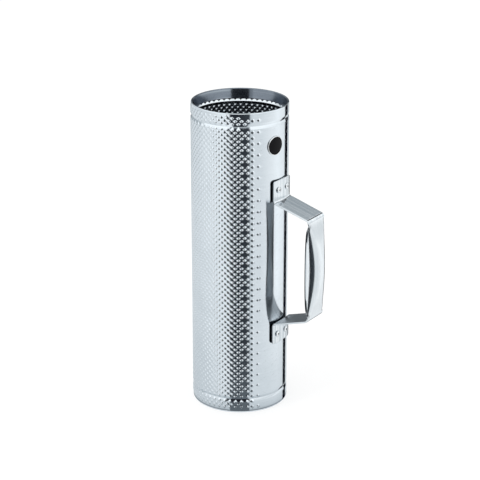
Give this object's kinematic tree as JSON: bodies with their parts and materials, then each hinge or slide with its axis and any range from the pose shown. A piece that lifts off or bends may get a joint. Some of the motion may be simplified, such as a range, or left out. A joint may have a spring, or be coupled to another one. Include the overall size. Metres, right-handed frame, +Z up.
{
  "type": "metal guiro",
  "caption": "Steel tube open at both ends, embossed all round with small domes for scraping, with a bent steel bow handle riveted to its side.",
  "frame": {"origin": "under the middle of the whole object's box, on the plane the tube stands on", "axes": "+Z up along the tube, +X out to the handle"},
  "size_m": [0.1518, 0.1016, 0.326],
  "materials": {
    "tube_steel": "bright cold-rolled sheet, embossed",
    "handle_steel": "satin, brushed along the strap",
    "rivet_steel": "bright, lightly handled",
    "stem_steel": "dull, broken end",
    "badge_metal": "bright rim",
    "badge_black": "gloss black filling"
  },
  "bodies": {
    "root": {"tube": "tube_steel", "handle": "handle_steel", "rivet_upper_front": "rivet_steel", "rivet_upper_rear": "rivet_steel", "rivet_lower_front": "rivet_steel", "rivet_lower_rear": "rivet_steel", "rivet_stem_upper_front": "stem_steel", "rivet_stem_upper_rear": "stem_steel", "rivet_stem_lower_front": "stem_steel", "rivet_stem_lower_rear": "stem_steel", "badge_plate": "badge_metal", "badge_inlay": "badge_black"}
  },
  "joints": []
}
